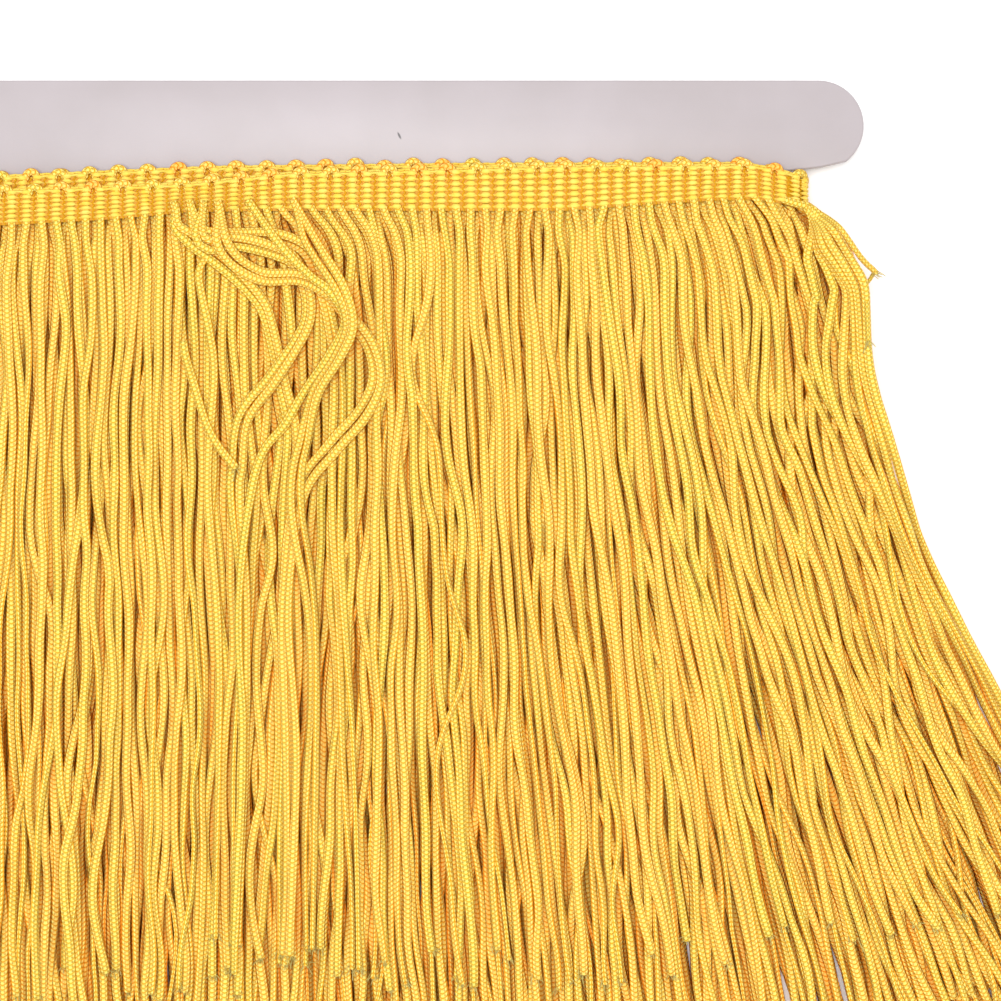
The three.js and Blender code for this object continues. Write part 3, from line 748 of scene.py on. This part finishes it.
class Pile:
    """How high the yarn that is already laid reaches, in cells of the surface."""

    def __init__(self):
        self.height = np.zeros(FIELD_SIZE)

    def cells(self, x, y):
        i = np.clip(((x - FIELD_LOW[0]) / CELL).astype(int), 0, FIELD_SIZE[0] - 1)
        j = np.clip(((y - FIELD_LOW[1]) / CELL).astype(int), 0, FIELD_SIZE[1] - 1)
        return i, j

    def covered(self, x, y, across, offsets):
        """The cells that a strand covers, a row for each point of its path."""
        return self.cells(x[:, None] + across[:, :1] * offsets, y[:, None] + across[:, 1:] * offsets)

    def cover_card(self):
        """Once the back is laid, the card lies over it."""
        x = FIELD_LOW[0] + CELL * (np.arange(FIELD_SIZE[0]) + 0.5)[:, None]
        y = FIELD_LOW[1] + CELL * (np.arange(FIELD_SIZE[1]) + 0.5)[None, :]
        past = np.maximum(np.abs(x) - LOWER_LOBE["x"], 0)
        lobe = past**2 + (y - LOWER_LOBE["y"]) ** 2 < LOWER_LOBE["radius"] ** 2
        neck = (np.abs(x) < NECK_HALF) & (y > LOWER_LOBE["y"])
        self.height[lobe | neck] = CARD_FACE

    def rest(self, x, y, across, belly, offsets):
        """How high the middle of a strand's section has to be, to lie on what is there."""
        return np.max(self.height[self.covered(x, y, across, offsets)] + belly, axis=1)

    def settle(self, path, half_width, half_thickness, free_length):
        """Lets a strand roll sideways into the hollows under it, and returns its path."""
        offsets, belly = section(half_width, half_thickness)
        run, fine, x, y, across = evenly(path, ROLL["step"])
        loose = smoothstep(ROLL["held"], free_length, fine)
        for reach in ROLL["reaches"]:
            left = self.rest(x - across[:, 0] * reach, y - across[:, 1] * reach, across, belly, offsets)
            right = self.rest(x + across[:, 0] * reach, y + across[:, 1] * reach, across, belly, offsets)
            slope = blurred((right - left) / (2 * reach), ROLL["blur"])
            move = np.clip(-ROLL["share"] * slope, -ROLL["most"], ROLL["most"]) * loose
            x = x + across[:, 0] * move
            y = y + across[:, 1] * move
        return np.stack([np.interp(run, fine, x), np.interp(run, fine, y)], 1)

    def lay(self, path, root_z, half_width, half_thickness, free_length, ceiling=None):
        """Heights of the middle of a strand laid along a path in the plane, whose root is held."""
        offsets, belly = section(half_width, half_thickness)
        run, fine, x, y, across = evenly(path, CELL)
        rest = np.maximum(self.rest(x, y, across, belly, offsets), half_thickness)
        # The cord is too stiff to drop steeply, so it bridges what is beside a step.
        steep = DROP * fine
        held = np.maximum(np.maximum.accumulate(rest + steep) - steep, rest)
        held = np.maximum(held, np.maximum.accumulate((rest - steep)[::-1])[::-1] + steep)
        middle = blurred(held, STIFFNESS / CELL)
        loose = smoothstep(HELD_LENGTH, free_length, fine)
        middle = root_z * (1 - loose) + middle * loose
        if ceiling is not None:
            roofed = 1 - smoothstep(*CEILING_END, -y)
            middle = np.where(roofed > 0, np.minimum(middle, ceiling + CEILING_RISE * (1 - roofed)), middle)
        np.maximum.at(self.height, self.covered(x, y, across, offsets), middle[:, None] + belly)
        return np.interp(run, fine, middle)

    def dim(self, paths):
        """Paints shade: lowers the tone of strands where they lie in a gap, below the yarn around them, which
        turns them darker and more orange.
        """
        around = np.apply_along_axis(blurred, 0, self.height, GAP_SHADE["blur"])
        around = np.apply_along_axis(blurred, 1, around, GAP_SHADE["blur"])
        for path in paths:
            x, y, z = path["points"].T
            below = around[self.cells(x, y)] - z - STRAND_THICKNESS / 2
            in_gap = smoothstep(GAP_SHADE["from"], GAP_SHADE["full"], below)
            path["tone"] = path["tone"] * (1 - GAP_SHADE["most"] * in_gap)


# The paths of the strands

# Waves that neighbouring strands share, so that the fringe gathers into locks and opens between them
LOCK_WAVES = [
    {"width": rng.uniform(7, 26), "length": rng.uniform(0.35, 1.2), "phase": rng.uniform(0, 6.28)}
    for _ in range(9)
]


def gathered(root, share, turn):
    """How far the locks draw a strand to the side, with a turn of its own for each layer."""
    total = 0
    for wave in LOCK_WAVES:
        total = total + np.sin(root / wave["width"] * 2 + share / wave["length"] * 4 + wave["phase"] + turn)
    return total / 3


def fan_shift(root, share, bulge, hurry):
    """How far the fringe as a whole has spread to the side there. A strand with more hurry bends sooner."""
    at_end = smoothstep(*END_ROOTS, abs(root)) * bulge
    early = share * (1 + hurry * (1 - share))
    made = share**1.35 * (1 - at_end) + np.interp(early, END_BULGE["share"], END_BULGE["made"]) * at_end
    combed = COMBED["shift"] * math.exp(-(((root - COMBED["root"]) / COMBED["reach"]) ** 2))
    combed = combed * (smoothstep(*COMBED["starts"], share) - smoothstep(*COMBED["ends"], share))
    return np.interp(root, FAN["root"], FAN["shift"]) * made + combed


def strand_plan(root, top, length, layer):
    """The path in the plane of one strand, from inside the braid to its cut end."""
    share = np.linspace(0, 1, layer["steps"]) ** 1.15
    x = root + fan_shift(root, share, layer["bulge"], rng.uniform(-0.35, 0.35))
    loose = smoothstep(0.02, 0.25, share) * (1 - 0.6 * smoothstep(84, 98, abs(root)) * (1 - share))
    x = x + GATHERING * loose * gathered(root, share, 1.7 * layer["lap"] + 3 * layer["front"])
    x = x + loose * share * rng.normal(0, STRAY_AT_END)
    x = x + rng.normal(*STRAY_AT_ROOT) * (smoothstep(0, 0.04, share) - smoothstep(0.06, 0.24, share))
    for wave in STRAND_WAVES:
        size = rng.normal(0, wave["steepness"]) * wave["length"] * loose
        x = x + size * np.sin(share * length / wave["length"] * 2 * math.pi + rng.uniform(0, 6.28))
    step = np.diff(share) * length
    across = np.diff(x)
    down = np.sqrt(np.maximum(step**2 - across**2, (0.3 * step) ** 2))
    y = top - np.concatenate([[0], np.cumsum(down)])
    return np.stack([x, y], 1)


def laid_strand(pile, plan, root_z, free_length, tone, width, ceiling=None, settles=True):
    """A strand's full path: heights from the pile, and a section that turns slowly along it."""
    half_width, half_thickness = width / 2, STRAND_THICKNESS / 2
    if settles:
        plan = pile.settle(plan, half_width, half_thickness, free_length)
    middle = pile.lay(plan, root_z, half_width, half_thickness, free_length, ceiling)
    points = np.column_stack([plan, middle])
    run = run_along(points)
    turn = rng.uniform(-TWIST, TWIST) + rng.normal(0, TWIST_DRIFT) * run
    turn = turn + TWIST * np.sin(run / rng.uniform(10, 26) + rng.uniform(0, 6))
    ahead = unit(np.gradient(points, axis=0))
    level = unit(np.cross(np.array([0, 0, 1.0]), ahead))
    upright = np.cross(ahead, level)
    wide_way = level * np.cos(turn)[:, None] + upright * np.sin(turn)[:, None]
    uneven = 1 + 0.05 * np.sin(run / rng.uniform(2, 5) + rng.uniform(0, 6))
    fuller = 0.9 + 0.1 * smoothstep(2, 9, run)
    # A section that has turned reaches lower than a level one, and stays above the floor.
    below = np.hypot(half_width * fuller * uneven * np.sin(turn), half_thickness * uneven * np.cos(turn))
    points[:, 2] = np.maximum(points[:, 2], below + FLOOR_GAP)
    along = run + rng.uniform(0, 1)
    return path_of(points, wide_way, half_width * uneven * fuller, half_thickness * uneven, along, tone)


def through(places, spacing):
    """A smooth curve through the places of a route, as evenly spaced points in the plane."""
    known = np.column_stack([places["x"], places["y"]])
    known = np.concatenate([[2 * known[0] - known[1]], known, [2 * known[-1] - known[-2]]])
    parts = []
    for a, b, c, d in zip(known[:-3], known[1:-2], known[2:-1], known[3:]):
        t = np.linspace(0, 1, 24, endpoint=False)[:, None]
        square = (2 * a - 5 * b + 4 * c - d) * t**2
        cube = (3 * b - a - 3 * c + d) * t**3
        parts.append(0.5 * (2 * b + (c - a) * t + square + cube))
    dense = np.concatenate([*parts, known[-2:-1]])
    run = run_along(dense)
    even = np.linspace(0, run[-1], int(run[-1] / spacing))
    return np.column_stack([np.interp(even, run, dense[:, 0]), np.interp(even, run, dense[:, 1])])


# The layers of the fringe, from the lowest up: behind the card, then in front of it. A set says where in its
# column its strands hang, and whether it is all along the card or only near its ends. Sunk is how far behind
# the shown strand the others of a column start, and free the length over which a strand comes down.
# A layer's tone is painted shade: the lower a layer lies, the darker and more orange its strands are painted.
FRINGE_LAYERS = [
    {"piece": "strands_back_lap_3", "node": "fringe_back_outer", "lap": 2, "front": False,
     "sets": ((0.0, "all"), (0.5, "ends")), "sunk": 0.0,
     "length": FRINGE_LENGTH, "ragged": RAGGED, "free": 30,
     "bulge": 0.3, "tone": 0.35, "width": BURIED_WIDTH, "steps": 34, "sides": 6},
    {"piece": "strands_back_lap_2", "node": "fringe_back_inner", "lap": 1, "front": False,
     "sets": ((0.0, "all"), (0.5, "ends")), "sunk": 0.0,
     "length": FRINGE_LENGTH, "ragged": RAGGED, "free": 30,
     "bulge": 0.4, "tone": 0.35, "width": BURIED_WIDTH, "steps": 34, "sides": 6},
    {"piece": "strands_back_lap_1", "node": "fringe_back_inner", "lap": 0, "front": False,
     "sets": ((0.5, "all"), (0.0, "all")), "sunk": 0.3,
     "length": FRINGE_LENGTH, "ragged": RAGGED, "free": 30,
     "bulge": 0.5, "tone": 0.35, "width": BURIED_WIDTH, "steps": 34, "sides": 6},
    {"piece": "strands_front_lap_1", "node": "fringe_front_inner", "lap": 0, "front": True,
     "sets": ((0.67, "ends"), (0.33, "all"), (0.0, "all")), "sunk": 0.8,
     "length": FRINGE_LENGTH, "ragged": RAGGED, "free": 13,
     "bulge": 0.6, "tone": 0.85, "width": BURIED_WIDTH, "steps": 46, "sides": 6},
    {"piece": "strands_front_lap_2", "node": "fringe_front_inner", "lap": 1, "front": True,
     "sets": ((0.67, "ends"), (0.33, "all"), (0.0, "all")), "sunk": 0.8,
     "length": FRINGE_LENGTH, "ragged": RAGGED, "free": 13,
     "bulge": 0.8, "tone": 0.9, "width": BURIED_WIDTH, "steps": 50, "sides": 6},
    {"piece": "strands_front_lap_3_behind", "node": "fringe_front_outer", "lap": 2, "front": True,
     "sets": ((0.5, "all"),), "sunk": 1.9,
     "length": FRINGE_LENGTH, "ragged": RAGGED, "free": 7,
     "bulge": 0.9, "tone": 0.95, "width": STRAND_WIDTH, "steps": 52, "sides": 6},
    {"piece": "strands_front_lap_3", "node": "fringe_front_outer", "lap": 2, "front": True,
     "sets": ((0.0, "all"),), "sunk": 0.0,
     "length": OUTER_LENGTH, "ragged": OUTER_RAGGED, "free": 13,
     "bulge": 1.0, "tone": 1.0, "width": STRAND_WIDTH, "steps": 74, "sides": 8},
]


def hung_strands(pile, layer, roots):
    """The strands of one layer, laid one by one in no order."""
    here = np.flatnonzero((roots["lap"] == layer["lap"]) & ((roots["frontness"] > 0.5) == layer["front"]))
    ceiling = None if layer["front"] else CARD_BACK - CARD_CLEARANCE - STRAND_THICKNESS / 2
    paths = []
    for share, where in layer["sets"]:
        kept = rng.bit_generator.state
        for k in rng.permutation(here):
            if where == "ends" and abs(roots["x"][k]) < ENDS_FROM:
                continue
            length = layer["length"] + layer["ragged"] * rng.uniform(-1, 1)
            aside = COLUMN_PITCH * share
            sunk = layer["sunk"] if share else 0.0
            root = roots["x"][k] + aside * roots["out_z"][k] - sunk * roots["out_x"][k]
            root_z = roots["z"][k] - aside * roots["out_x"][k] - sunk * roots["out_z"][k]
            plan = strand_plan(root, roots["bottom"][k] + ROOT_TUCK, length, layer)
            tone = layer["tone"] * rng.uniform(DIMMEST, 1)
            paths.append(laid_strand(pile, plan, root_z, layer["free"], tone, layer["width"], ceiling))
        # The sets at the ends of the back take their draws apart, so what follows is the same without them.
        if where == "ends" and not layer["front"]:
            rng.bit_generator.state = kept
    return paths


def slipped_strands(pile):
    """The strands that have slipped over their neighbours. Those of one route lie side by side."""
    paths = []
    for route in LOOSE_STRANDS:
        slimmer = route.get("slimmer", 1.0)
        for beside in reversed(range(route["strands"])):
            plan = through(route, 1.1)
            ahead = unit(np.gradient(plan, axis=0))
            inward = np.stack([ahead[:, 1], -ahead[:, 0]], 1)
            step = np.arange(len(plan))
            apart = STRAND_WIDTH * (0.86 + 0.25 * np.sin(step / 9 + beside))
            plan = plan + inward * (beside * apart * smoothstep(0, 9, step))[:, None]
            tone = rng.uniform(DIMMEST_SLIPPED, 1)
            path = laid_strand(pile, plan, SLIPPED_ROOT, SLIPPED_FREE, tone, STRAND_WIDTH, settles=False)
            path["half_width"] *= slimmer
            path["half_thickness"] *= slimmer
            paths.append(path)
    return paths


def frayed_ends(paths):
    """The filaments that stand out at the cut ends of these strands."""
    hairs = []
    side = np.tile(np.array([0.3, 0.2, 1.0]), (5, 1))
    for path in paths:
        end, before = path["points"][-2], path["points"][-4]
        ahead = unit(end - before)
        for _ in range(HAIRS):
            aim = unit(ahead + rng.normal(0, 0.36, 3) * np.array([1, 1, 0.3]))
            steps = np.linspace(0, rng.uniform(*HAIR_LENGTHS), 5)[:, None]
            start = end - ahead * 0.7 + rng.normal(0, 0.4, 3) * np.array([1, 0.3, 0.4])
            points = start + aim * steps + rng.normal(0, 0.16, 3) * steps**2
            points[:, 2] = np.maximum(points[:, 2], 0.25)
            hairs.append(path_of(points, side, HAIR_WIDTH / 2, HAIR_THICKNESS / 2, steps[:, 0], 1.0))
    piece = yarn("frayed_filaments", hairs, CUT_FINISH, sides=3)
    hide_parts("fringe_front_outer")


def fringe():
    """All the strands, laid from the lowest up."""
    x, z, lap, frontness, out_x, out_z = on_winding(braid_columns(), ROOT_OUT)
    roots = {"x": x, "z": z, "lap": lap, "frontness": frontness, "out_x": out_x, "out_z": out_z}
    roots["bottom"] = braid_edge(x, lap, frontness, "bottom")
    pile = Pile()
    laid = []
    for layer in FRINGE_LAYERS:
        if layer["front"] and layer["lap"] == 0:
            pile.cover_card()
        laid.append(hung_strands(pile, layer, roots))
    laid[-1] += slipped_strands(pile)
    frayed_ends(laid[-1])
    # Painted shade: the front strands that lie in gaps are painted darker and more orange.
    pile.dim([path for layer, paths in zip(FRINGE_LAYERS, laid) if layer["front"] for path in paths])
    for layer, paths in zip(FRINGE_LAYERS, laid):
        piece = yarn(layer["piece"], paths, STRAND_FINISH_WITH_PAINTED_LIGHT, sides=layer["sides"], groove=STRAND_GROOVE)
        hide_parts(layer["node"])


# The braid

MIDDLE = BRAID_THICKNESS / 2


def braid_points(distance, height, outward):
    """Points from places on the braid: along it, up the page, and out from its inner face."""
    x, z, *_ = on_winding(distance, outward)
    return np.column_stack([x, np.broadcast_to(height, x.shape), z])


def braid_bars(columns):
    """The rows of bars: each row is one thread, fat over the columns and drawn in between them."""
    points_per_column = 7
    index = np.arange(0, (len(columns) - 1) * points_per_column + 1) / points_per_column
    distance = np.interp(index, np.arange(len(columns)), columns)
    over = smoothstep(0.25, 0.85, 0.5 + 0.5 * np.cos(2 * math.pi * index))
    x, _, lap, frontness, *_ = on_winding(distance, MIDDLE)
    top = braid_edge(x, lap, frontness, "top")
    bottom = braid_edge(x, lap, frontness, "bottom")
    paths = []
    for row in range(ROWS):
        height = bottom + (top - bottom) * (row + 0.5) / ROWS
        jitter = blurred(rng.normal(0, 0.3, len(index)), 1.2)
        half = (top - bottom) / ROWS / 2
        points = braid_points(distance, height + 0.12 * jitter - 0.06 * (1 - over), 0.42 + 0.66 * over)
        up = np.tile(np.array([0, 1.0, 0]), (len(points), 1))
        run = run_along(points)
        half_width = half * (0.46 + 0.56 * over + 0.08 * jitter)
        paths.append(path_of(points, up, half_width, 0.24 + 0.18 * over, run, rng.uniform(0, 1)))
    return paths


def braid_ties(columns):
    """The tie yarns that zigzag down between the columns and pull the bars together."""
    paths = []
    points_per_row = 4
    steps = np.arange(0, ROWS * points_per_row + 1) / points_per_row
    for distance in (columns[:-1] + columns[1:]) / 2:
        x, _, lap, frontness, *_ = on_winding(np.array([distance]), MIDDLE)
        if lap[0] == 0:
            continue
        top = braid_edge(x, lap, frontness, "top")[0]
        bottom = braid_edge(x, lap, frontness, "bottom")[0] - 0.35
        height = bottom + (top - bottom) * steps / ROWS
        sway = 0.26 * np.sin(steps * 2 * math.pi)
        points = braid_points(distance + sway, height, MIDDLE + 0.08 * np.cos(steps * 2 * math.pi))
        wide = np.tile(np.array([1.0, 0, 0.01]), (len(points), 1))
        paths.append(path_of(points, wide, 0.15, 0.14, steps * 1.2, rng.uniform(0, 1)))
    return paths


def braid_picots(columns):
    """The picots: the cord of one column arches over to the next one."""
    paths = []
    half_width, half_thickness = 0.8, 0.52
    for k in range(0, len(columns) - 1, 2):
        middle = (columns[k] + columns[k + 1]) / 2 + rng.normal(0, 0.1)
        x, _, lap, frontness, *_ = on_winding(np.array([middle]), MIDDLE)
        top = braid_edge(x, lap, frontness, "top")[0]
        angle = np.linspace(0, math.pi, 11)
        radius = 1.08 + rng.normal(0, 0.06)
        peak = top + PICOT_HEIGHT - half_width + rng.normal(0, 0.12)
        lean = rng.normal(0, 0.12)
        arch_x = middle - radius * np.cos(angle) + lean * np.sin(angle)
        arch_y = peak - radius + radius * np.sin(angle)
        foot = np.array([columns[k] + 0.1, columns[k] + 0.2])
        other = np.array([columns[k + 1] - 0.2, columns[k + 1] - 0.1])
        distance = np.concatenate([foot, arch_x, other])
        height = np.concatenate([[top - 2.2, top - 1.1], arch_y, [top - 1.1, top - 2.2]])
        outward = np.concatenate([[0.5, 0.6], 0.75 + 0.25 * np.sin(angle), [0.6, 0.5]])
        points = braid_points(distance, height, outward)
        run = run_along(points)
        ahead = unit(np.gradient(points, axis=0))
        across = np.cross(np.array([0, 0, 1.0]), ahead)
        upright = np.linalg.norm(across, axis=1, keepdims=True) <= 0.1
        across = np.where(upright, np.array([[1.0, 0, 0]]), across)
        paths.append(path_of(points, across, half_width, half_thickness, run, rng.uniform(0, 1)))
    return paths


def braid_edge_threads(columns):
    """Two threads that run straight along the top edge from picot to picot."""
    paths = []
    for k in range(1, len(columns) - 2, 2):
        span = np.linspace(columns[k] - 0.3, columns[k + 1] + 0.3, 7)
        x, _, lap, frontness, *_ = on_winding(span, MIDDLE)
        top = braid_edge(x, lap, frontness, "top")
        for above, outward in ((0.12, 0.6), (-0.36, 0.95)):
            points = braid_points(span, top + above + 0.06 * np.cos(span * 3), outward)
            up = np.tile(np.array([0, 1.0, 0]), (len(points), 1))
            paths.append(path_of(points, up, 0.27, 0.25, span - span[0], rng.uniform(0, 1)))
    return paths


def braid_ground(columns):
    """The thin closed ground that the bars and ties are worked on, as a strip with four corners."""
    distance = np.interp(np.arange(0, len(columns) - 0.5, 0.5), np.arange(len(columns)), columns)
    x, _, lap, frontness, *_ = on_winding(distance, MIDDLE)
    top = braid_edge(x, lap, frontness, "top") - 0.35
    bottom = braid_edge(x, lap, frontness, "bottom") - 0.3
    inner, outer = 0.15, 0.55
    corners = ((bottom, inner), (top, inner), (top, outer), (bottom, outer))
    rings = np.stack([braid_points(distance, height, outward) for height, outward in corners], 1)
    count = len(distance)
    faces = []
    for i in range(count - 1):
        for side in range(4):
            a, b = 4 * i + side, 4 * i + (side + 1) % 4
            faces.append((a, b, b + 4, a + 4))
    faces.append((0, 3, 2, 1))
    last = 4 * (count - 1)
    faces.append((last, last + 1, last + 2, last + 3))
    mesh = bpy.data.meshes.new("braid_ground")
    mesh.from_pydata((rings.reshape(-1, 3) * MM).tolist(), [], faces)
    solid = bmesh.new()
    solid.from_mesh(mesh)
    bmesh.ops.recalc_face_normals(solid, faces=solid.faces)
    solid.to_mesh(mesh)
    solid.free()
    # Its threads are too fine to show, so every corner has the same place in the finish.
    mesh.uv_layers.new(name="UVMap").data.foreach_set("uv", np.zeros(len(mesh.loops) * 2))
    mesh.materials.append(GROUND_FINISH_PAINTED_SHADE)
    piece = bpy.data.objects.new("braid_ground", mesh)
    bpy.context.collection.objects.link(piece)
    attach(piece, "root")
    return piece


def braid():
    columns = braid_columns()
    bars = braid_bars(columns)
    pieces = [
        yarn("braid_bars_lower", bars[:4], BRAID_FINISH, sides=6),
        yarn("braid_bars_upper", bars[4:], BRAID_FINISH, sides=6),
        yarn("braid_ties", braid_ties(columns), TIE_FINISH_PAINTED_SHADE, sides=5),
        yarn("braid_picots", braid_picots(columns), STRAND_FINISH_WITH_PAINTED_LIGHT, sides=8),
        yarn("braid_edge_threads", braid_edge_threads(columns), BRAID_FINISH, sides=5),
        braid_ground(columns),
    ]
    for piece in pieces:
        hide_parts("wound_braid")


# Floor, light and camera


def studio():
    """A sheet of white paper under even daylight and one softbox."""
    floor = bpy.data.meshes.new("floor")
    corners = [(x * FLOOR_HALF, y * FLOOR_HALF, 0) for x, y in ((-1, -1), (1, -1), (1, 1), (-1, 1))]
    floor.from_pydata(corners, [], [(0, 1, 2, 3)])
    paper = bpy.data.materials.new("white_paper")
    paper.use_nodes = True
    sheet = paper.node_tree.nodes["Principled BSDF"]
    sheet.inputs["Base Color"].default_value = linear("#fbfbfb")
    sheet.inputs["Roughness"].default_value = 0.9
    floor.materials.append(paper)
    stage = bpy.data.objects.new("floor", floor)
    bpy.context.collection.objects.link(stage)
    world = bpy.data.worlds.new("studio")
    bpy.context.scene.world = world
    world.use_nodes = True
    background = world.node_tree.nodes["Background"]
    background.inputs["Color"].default_value = linear("#ffffff")
    background.inputs["Strength"].default_value = DAYLIGHT
    data = bpy.data.lights.new("softbox_above", "AREA")
    data.size = SOFTBOX["size"]
    data.energy = SOFTBOX["power"]
    light = bpy.data.objects.new("softbox_above", data)
    light.location = SOFTBOX["place"]
    light.rotation_euler = (-Vector(SOFTBOX["place"])).to_track_quat("-Z", "Y").to_euler()
    bpy.context.collection.objects.link(light)


def camera():
    """Straight above the pack, as far up as makes the view VIEW_WIDTH wide."""
    data = bpy.data.cameras.new("camera")
    data.lens = LENS
    data.sensor_width = SENSOR
    eye = bpy.data.objects.new("camera", data)
    distance = VIEW_WIDTH * LENS / SENSOR
    eye.location = (VIEW_CENTRE[0] * MM, VIEW_CENTRE[1] * MM, (VIEW_HEIGHT + distance) * MM)
    data.clip_start, data.clip_end = 0.01, 20
    bpy.context.collection.objects.link(eye)
    bpy.context.scene.camera = eye


camera()
studio()
bpy.context.scene.view_settings.view_transform = "Standard"
winding_card()
braid()
fringe()
